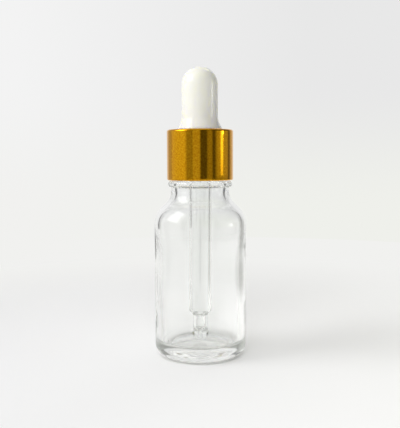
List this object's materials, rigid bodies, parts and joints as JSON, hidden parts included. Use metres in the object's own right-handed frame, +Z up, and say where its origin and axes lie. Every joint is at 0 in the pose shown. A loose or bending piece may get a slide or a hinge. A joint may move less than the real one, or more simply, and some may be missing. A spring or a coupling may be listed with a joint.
{
  "type": "glass dropper bottle",
  "caption": "Round-shouldered clear glass bottle closed by a gold screw collar that carries a white rubber bulb and a drawn glass pipette reaching down to the floor.",
  "frame": {"origin": "centre of the base, on the plane that the bottle stands on", "axes": "+Z up along the axis of the bottle, towards the bulb"},
  "size_m": [0.0286, 0.0286, 0.0896],
  "materials": {
    "clear_glass": "polished clear soda-lime glass",
    "gold_aluminium": "gold anodised, satin bright",
    "white_rubber": "smooth white rubber with a soft gloss",
    "white_polypropylene": "moulded white polypropylene",
    "natural_polyethylene": "soft cut polyethylene sheet"
  },
  "bodies": {
    "bottle": {"glass_bottle": "clear_glass"},
    "dropper": {"rubber_bulb": "white_rubber", "glass_pipette": "clear_glass", "sealing_gasket": "natural_polyethylene"},
    "collar": {"collar_shell": "gold_aluminium", "threaded_collar": "white_polypropylene"}
  },
  "joints": [
    {"name": "dropper_lift", "type": "slide", "parent": "bottle", "child": "dropper", "axis": [0, 0, 1], "range_m": [0, 0.07]},
    {"name": "collar_turn", "type": "hinge", "parent": "dropper", "child": "collar", "pos_m": [0, 0, 0.0625], "axis": [0, 0, 1], "range_deg": [0, 450]}
  ]
}
